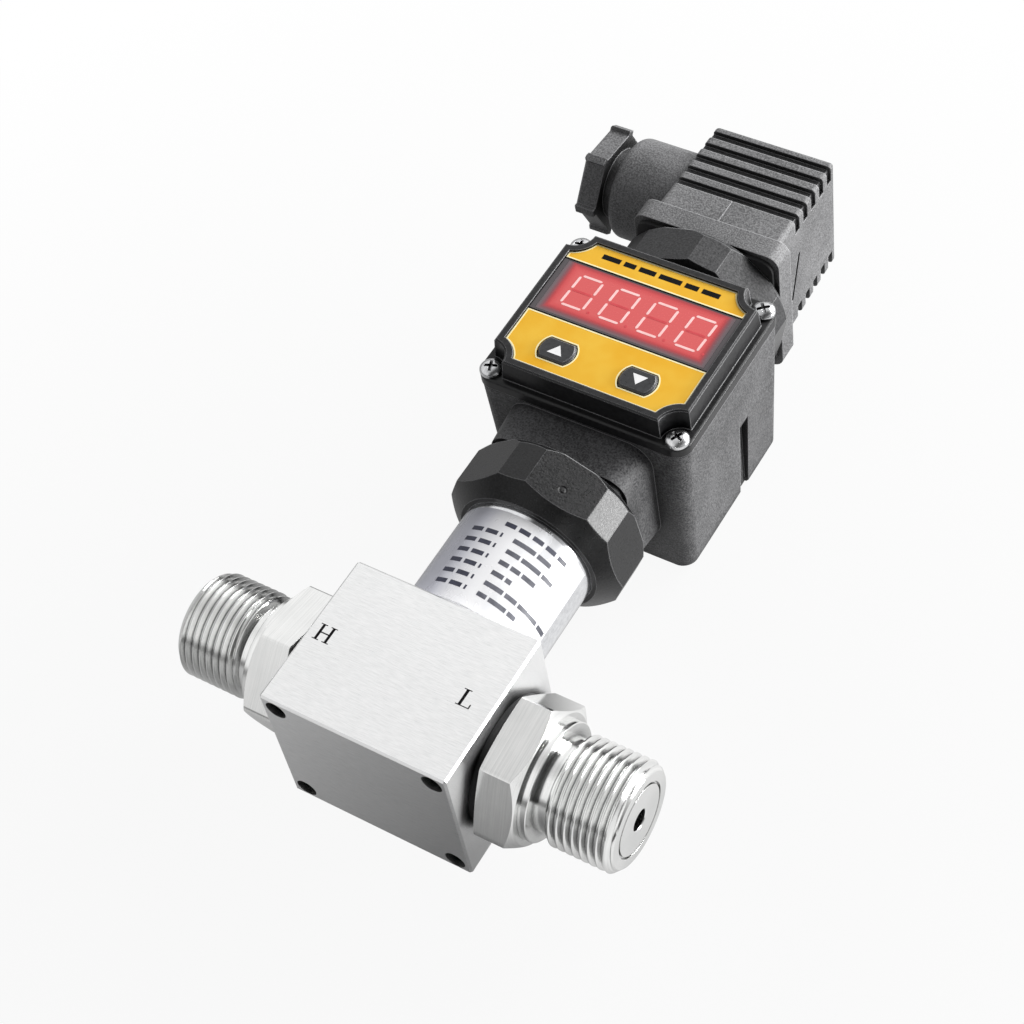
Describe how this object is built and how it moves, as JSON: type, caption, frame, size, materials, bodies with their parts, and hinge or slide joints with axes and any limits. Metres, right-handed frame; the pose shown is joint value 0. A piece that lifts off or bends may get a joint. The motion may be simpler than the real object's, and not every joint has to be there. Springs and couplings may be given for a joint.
{
  "type": "pressure transmitter",
  "caption": "Differential pressure transmitter: steel block with two threaded ports, sensor tube, plug-in digital display head with keys, and an angled cable plug.",
  "frame": {"origin": "centre of the steel block's mounting face, at the middle of its four tapped holes", "axes": "+X towards the low-pressure port, +Y along the instrument towards the cable plug, +Z out of the display"},
  "size_m": [0.0884, 0.153, 0.0419],
  "materials": {
    "stainless_steel": "fine brushed",
    "polished_steel": "polished",
    "cell_steel": "turned",
    "screw_steel": "plated",
    "chrome_screw": "polished",
    "contact_metal": "tinned",
    "brass_insert": "turned",
    "port_seal": "matt",
    "seal_rubber": "matt",
    "printed_foil": "clear",
    "circuit_board": "lacquered",
    "component_plastic": "matt",
    "black_plastic": "fine grain",
    "yellow_overlay": "satin",
    "window_red": "tinted",
    "led_red": "satin",
    "button_grey": "satin"
  },
  "bodies": {
    "instrument": {"manifold_block": "stainless_steel", "high_port_fitting": "stainless_steel", "low_port_fitting": "stainless_steel", "high_port_seal": "port_seal", "low_port_seal": "port_seal", "sensor_cell": "cell_steel", "cell_seals": "seal_rubber", "cell_header": "cell_steel", "cell_leads": "contact_metal", "sensor_tube": "polished_steel", "tube_foil": "printed_foil", "amplifier_board": "circuit_board", "amplifier_parts": "component_plastic", "lower_plug_base": "black_plastic", "lower_plug_insert": "brass_insert", "lower_plug_pins": "contact_metal", "lower_gasket": "seal_rubber", "plinth_screw": "screw_steel", "display_housing": "black_plastic", "socket_contacts": "contact_metal", "cover_seal": "seal_rubber", "display_cover": "black_plastic", "cover_screws": "chrome_screw", "face_overlay": "yellow_overlay", "display_window": "window_red", "led_module": "led_red", "display_board": "circuit_board", "driver_board": "circuit_board", "board_header": "component_plastic", "button_switches": "component_plastic", "upper_plug_base": "black_plastic", "upper_plug_insert": "brass_insert", "upper_plug_pins": "contact_metal", "upper_gasket": "seal_rubber", "connector_housing": "black_plastic", "terminal_block": "component_plastic", "terminal_clamps": "contact_metal", "terminal_screws": "screw_steel", "fixing_screw_seal": "seal_rubber", "fixing_screw": "screw_steel", "gland_seal": "seal_rubber"},
    "up_button": {"up_button": "button_grey"},
    "down_button": {"down_button": "button_grey"},
    "gland_thrust_ring": {"gland_thrust_ring": "black_plastic"},
    "gland_nut": {"gland_nut": "black_plastic"}
  },
  "joints": [
    {"name": "up_button_press", "type": "slide", "parent": "instrument", "child": "up_button", "axis": [0, 0, -1], "range_m": [0, 0.0005], "stiffness_N_per_m": 600},
    {"name": "down_button_press", "type": "slide", "parent": "instrument", "child": "down_button", "axis": [0, 0, -1], "range_m": [0, 0.0005], "stiffness_N_per_m": 600},
    {"name": "gland_ring_slide", "type": "slide", "parent": "instrument", "child": "gland_thrust_ring", "axis": [-1, 0, 0], "range_m": [0, 0.003]},
    {"name": "gland_nut_turn", "type": "hinge", "parent": "gland_thrust_ring", "child": "gland_nut", "pos_m": [-0.0325, 0.1411, 0], "axis": [-1, 0, 0], "range_deg": [0, 720]}
  ],
  "couplings": [
    {"joint": "gland_nut_turn", "follows": "gland_ring_slide", "rad_per_m": 4188.8}
  ]
}
